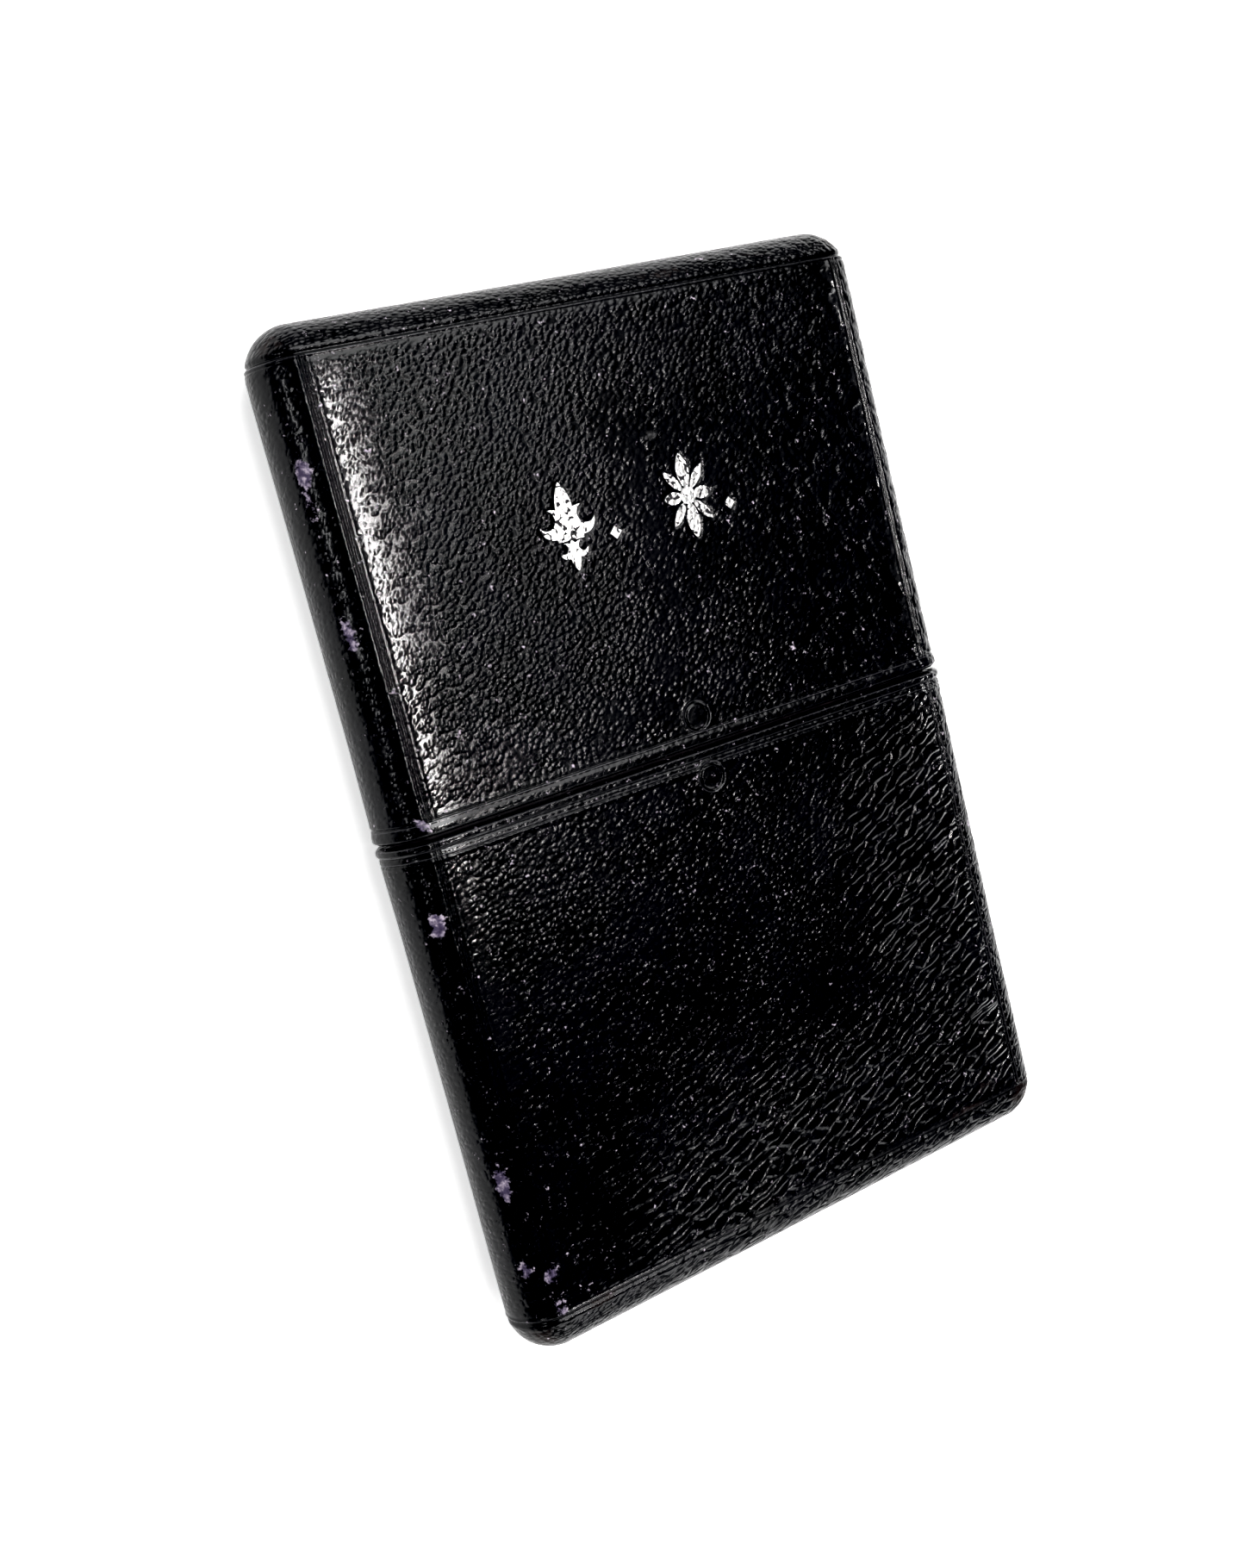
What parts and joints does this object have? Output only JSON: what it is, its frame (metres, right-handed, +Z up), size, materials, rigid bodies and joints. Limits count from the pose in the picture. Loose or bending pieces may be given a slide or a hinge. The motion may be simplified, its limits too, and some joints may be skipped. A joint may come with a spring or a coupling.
{
  "type": "prayer book in pull-off slip case",
  "caption": "Slim pocket prayer book held in a rounded, leather-covered slip case; the cap pulls off a fitted neck and the book slides out.",
  "frame": {"origin": "centre of the footprint on the case's resting back face", "axes": "+X across the case to the right of its front face, +Y along the case towards the cap's head, +Z up out of the front face"},
  "size_m": [0.082, 0.122, 0.0111],
  "materials": {
    "case_goatskin": "glossy pebble-grained goatskin, blind-tooled lines",
    "pasteboard": "raw grey-brown pasteboard",
    "neck_skiver": "smooth thin leather",
    "lining_silk": "ribbed silk",
    "silver_foil": "silver leaf tooled into the grain",
    "book_leather": "fine-grained black leather with gilt fillets",
    "gilt_pages": "thin paper with gilt edges",
    "linen_tape": "unbleached linen",
    "kraft_paper": "brown kraft paper",
    "headband_silk": "wound silk thread, red and cream",
    "endpaper": "cream laid paper",
    "ribbon_silk": "ribbed silk ribbon"
  },
  "bodies": {
    "lower_case": {"lower_leather": "case_goatskin", "lower_board": "pasteboard", "neck_board": "pasteboard", "neck_cover": "neck_skiver", "lower_lining": "lining_silk"},
    "book": {"cover_leather": "book_leather", "front_board": "pasteboard", "back_board": "pasteboard", "gatherings": "gilt_pages", "sewing_tapes": "linen_tape", "spine_gauze": "linen_tape", "spine_liner": "kraft_paper", "headband": "headband_silk", "tailband": "headband_silk", "front_endpaper": "endpaper", "back_endpaper": "endpaper", "ribbon_marker": "ribbon_silk"},
    "cap": {"cap_leather": "case_goatskin", "cap_board": "pasteboard", "cap_lining": "lining_silk", "left_ornament": "silver_foil", "right_ornament": "silver_foil", "ornament_dots": "silver_foil"}
  },
  "joints": [
    {"name": "book_slide", "type": "slide", "parent": "lower_case", "child": "book", "axis": [0, 1, 0], "range_m": [0, 0.086]},
    {"name": "cap_pull", "type": "slide", "parent": "book", "child": "cap", "axis": [0, 1, 0], "range_m": [0, 0.062]}
  ]
}
